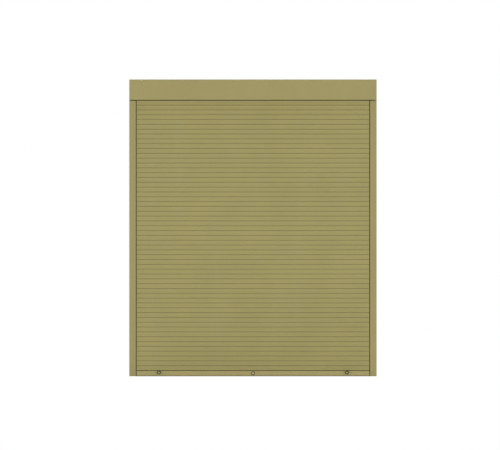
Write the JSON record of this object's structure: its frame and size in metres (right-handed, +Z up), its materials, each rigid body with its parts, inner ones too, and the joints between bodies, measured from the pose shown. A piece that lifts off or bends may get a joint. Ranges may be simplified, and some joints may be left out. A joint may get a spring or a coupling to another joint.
{
  "type": "exterior roller shutter",
  "caption": "Closed exterior roller shutter with a square box, side guides, interlocking slats and a bottom bar with a key lock and round stoppers.",
  "frame": {"origin": "middle of the sill line under the bottom bar, in the middle plane of the curtain", "axes": "+X to the right seen from outside, +Y towards the wall, +Z up"},
  "size_m": [2, 0.165, 2.4],
  "materials": {
    "coated_sheet": "matte",
    "coated_extrusion": "matte",
    "coated_slat": "matte",
    "dark_rubber": "matte",
    "dark_plastic": "matte",
    "black_plastic": "matte",
    "white_plastic": "matte",
    "cap_plastic": "satin",
    "dark_metal": "satin",
    "galvanised_steel": "satin",
    "plain_steel": "satin",
    "spring_steel": "satin",
    "bearing_steel": "polished",
    "lock_metal": "satin"
  },
  "bodies": {
    "frame": {"left_end_cap": "coated_sheet", "right_end_cap": "coated_sheet", "rear_shell": "coated_sheet", "front_cover": "coated_sheet", "cover_screws": "plain_steel", "shell_rivets": "coated_sheet", "slot_seal": "dark_rubber", "inlet_funnels": "dark_plastic", "bearing_holder": "black_plastic", "shaft_holder": "plain_steel", "holder_screws": "plain_steel", "bearing_outer_ring": "bearing_steel", "bearing_balls": "bearing_steel", "fixed_shaft": "plain_steel", "spring_cone": "plain_steel", "torsion_spring": "spring_steel", "left_guide": "coated_extrusion", "right_guide": "coated_extrusion", "guide_seals": "dark_rubber", "guide_foot_plugs": "dark_plastic", "lock_keepers": "galvanised_steel"},
    "bottom_bar": {"bottom_bar": "coated_extrusion", "bottom_seal": "dark_rubber", "bar_end_caps": "dark_plastic", "rod_guides": "white_plastic", "stopper_buffers": "dark_rubber", "stopper_caps": "cap_plastic", "stopper_screws": "plain_steel", "stopper_nuts": "plain_steel", "lock_escutcheon": "dark_metal", "lock_body": "lock_metal", "slat_band_01": "coated_slat"},
    "slat_band_02": {"slat_band_02": "coated_slat"},
    "slat_band_03": {"slat_band_03": "coated_slat"},
    "slat_band_04": {"slat_band_04": "coated_slat"},
    "slat_band_05": {"slat_band_05": "coated_slat"},
    "slat_band_06": {"slat_band_06": "coated_slat"},
    "slat_band_07": {"slat_band_07": "coated_slat"},
    "slat_band_08": {"slat_band_08": "coated_slat"},
    "slat_band_09": {"slat_band_09": "coated_slat"},
    "slat_band_10": {"slat_band_10": "coated_slat"},
    "slat_band_11": {"slat_band_11": "coated_slat"},
    "slat_band_12": {"slat_band_12": "coated_slat"},
    "slat_band_13": {"slat_band_13": "coated_slat"},
    "slat_band_14": {"slat_band_14": "coated_slat"},
    "top_slat": {"top_slat": "coated_slat"},
    "drum": {"winding_tube": "galvanised_steel", "left_tube_plug": "black_plastic", "right_tube_plug": "black_plastic", "tube_pin": "plain_steel", "bearing_inner_ring": "bearing_steel", "spring_hub": "black_plastic", "hanger_straps": "galvanised_steel"},
    "lock_cylinder": {"lock_cylinder": "lock_metal", "lock_pinion": "lock_metal"},
    "left_rod": {"left_lock_rod": "galvanised_steel"},
    "right_rod": {"right_lock_rod": "galvanised_steel"}
  },
  "joints": [
    {"name": "shutter_lift", "type": "slide", "parent": "frame", "child": "bottom_bar", "axis": [0, 0, 1], "range_m": [0, 2.184]},
    {"name": "slat_band_02_slide", "type": "slide", "parent": "frame", "child": "slat_band_02", "axis": [0, 0, 1], "range_m": [0, 2.028], "deforming": ["slat_band_02"]},
    {"name": "slat_band_03_slide", "type": "slide", "parent": "frame", "child": "slat_band_03", "axis": [0, 0, 1], "range_m": [0, 1.872], "deforming": ["slat_band_03"]},
    {"name": "slat_band_04_slide", "type": "slide", "parent": "frame", "child": "slat_band_04", "axis": [0, 0, 1], "range_m": [0, 1.716], "deforming": ["slat_band_04"]},
    {"name": "slat_band_05_slide", "type": "slide", "parent": "frame", "child": "slat_band_05", "axis": [0, 0, 1], "range_m": [0, 1.56], "deforming": ["slat_band_05"]},
    {"name": "slat_band_06_slide", "type": "slide", "parent": "frame", "child": "slat_band_06", "axis": [0, 0, 1], "range_m": [0, 1.404], "deforming": ["slat_band_06"]},
    {"name": "slat_band_07_slide", "type": "slide", "parent": "frame", "child": "slat_band_07", "axis": [0, 0, 1], "range_m": [0, 1.248], "deforming": ["slat_band_07"]},
    {"name": "slat_band_08_slide", "type": "slide", "parent": "frame", "child": "slat_band_08", "axis": [0, 0, 1], "range_m": [0, 1.092], "deforming": ["slat_band_08"]},
    {"name": "slat_band_09_slide", "type": "slide", "parent": "frame", "child": "slat_band_09", "axis": [0, 0, 1], "range_m": [0, 0.936], "deforming": ["slat_band_09"]},
    {"name": "slat_band_10_slide", "type": "slide", "parent": "frame", "child": "slat_band_10", "axis": [0, 0, 1], "range_m": [0, 0.78], "deforming": ["slat_band_10"]},
    {"name": "slat_band_11_slide", "type": "slide", "parent": "frame", "child": "slat_band_11", "axis": [0, 0, 1], "range_m": [0, 0.624], "deforming": ["slat_band_11"]},
    {"name": "slat_band_12_slide", "type": "slide", "parent": "frame", "child": "slat_band_12", "axis": [0, 0, 1], "range_m": [0, 0.468], "deforming": ["slat_band_12"]},
    {"name": "slat_band_13_slide", "type": "slide", "parent": "frame", "child": "slat_band_13", "axis": [0, 0, 1], "range_m": [0, 0.312], "deforming": ["slat_band_13"]},
    {"name": "slat_band_14_slide", "type": "slide", "parent": "frame", "child": "slat_band_14", "axis": [0, 0, 1], "range_m": [0, 0.156], "deforming": ["slat_band_14"]},
    {"name": "top_slat_slide", "type": "slide", "parent": "frame", "child": "top_slat", "axis": [0, 0, 1], "range_m": [0, 0.098], "deforming": ["top_slat"]},
    {"name": "drum_turn", "type": "hinge", "parent": "frame", "child": "drum", "pos_m": [0, -0.0715, 2.3175], "axis": [1, 0, 0], "range_deg": [0, 2160], "deforming": ["hanger_straps", "torsion_spring"]},
    {"name": "left_rod_slide", "type": "slide", "parent": "bottom_bar", "child": "left_rod", "axis": [-1, 0, 0], "range_m": [0, 0.011]},
    {"name": "right_rod_slide", "type": "slide", "parent": "bottom_bar", "child": "right_rod", "axis": [1, 0, 0], "range_m": [0, 0.0111]},
    {"name": "lock_turn", "type": "hinge", "parent": "bottom_bar", "child": "lock_cylinder", "pos_m": [0, 0, 0.024], "axis": [0, -1, 0], "range_deg": [0, 91]}
  ],
  "couplings": [
    {"joint": "slat_band_02_slide", "follows": "shutter_lift", "ratio": 0.92857},
    {"joint": "slat_band_03_slide", "follows": "shutter_lift", "ratio": 0.85714},
    {"joint": "slat_band_04_slide", "follows": "shutter_lift", "ratio": 0.78571},
    {"joint": "slat_band_05_slide", "follows": "shutter_lift", "ratio": 0.71429},
    {"joint": "slat_band_06_slide", "follows": "shutter_lift", "ratio": 0.64286},
    {"joint": "slat_band_07_slide", "follows": "shutter_lift", "ratio": 0.57143},
    {"joint": "slat_band_08_slide", "follows": "shutter_lift", "ratio": 0.5},
    {"joint": "slat_band_09_slide", "follows": "shutter_lift", "ratio": 0.42857},
    {"joint": "slat_band_10_slide", "follows": "shutter_lift", "ratio": 0.35714},
    {"joint": "slat_band_11_slide", "follows": "shutter_lift", "ratio": 0.28571},
    {"joint": "slat_band_12_slide", "follows": "shutter_lift", "ratio": 0.21429},
    {"joint": "slat_band_13_slide", "follows": "shutter_lift", "ratio": 0.14286},
    {"joint": "slat_band_14_slide", "follows": "shutter_lift", "ratio": 0.071429},
    {"joint": "top_slat_slide", "follows": "shutter_lift", "ratio": 0.044872},
    {"joint": "drum_turn", "follows": "shutter_lift", "rad_per_m": 17.261},
    {"joint": "right_rod_slide", "follows": "left_rod_slide", "ratio": 1},
    {"joint": "lock_turn", "follows": "left_rod_slide", "rad_per_m": 142.86}
  ]
}
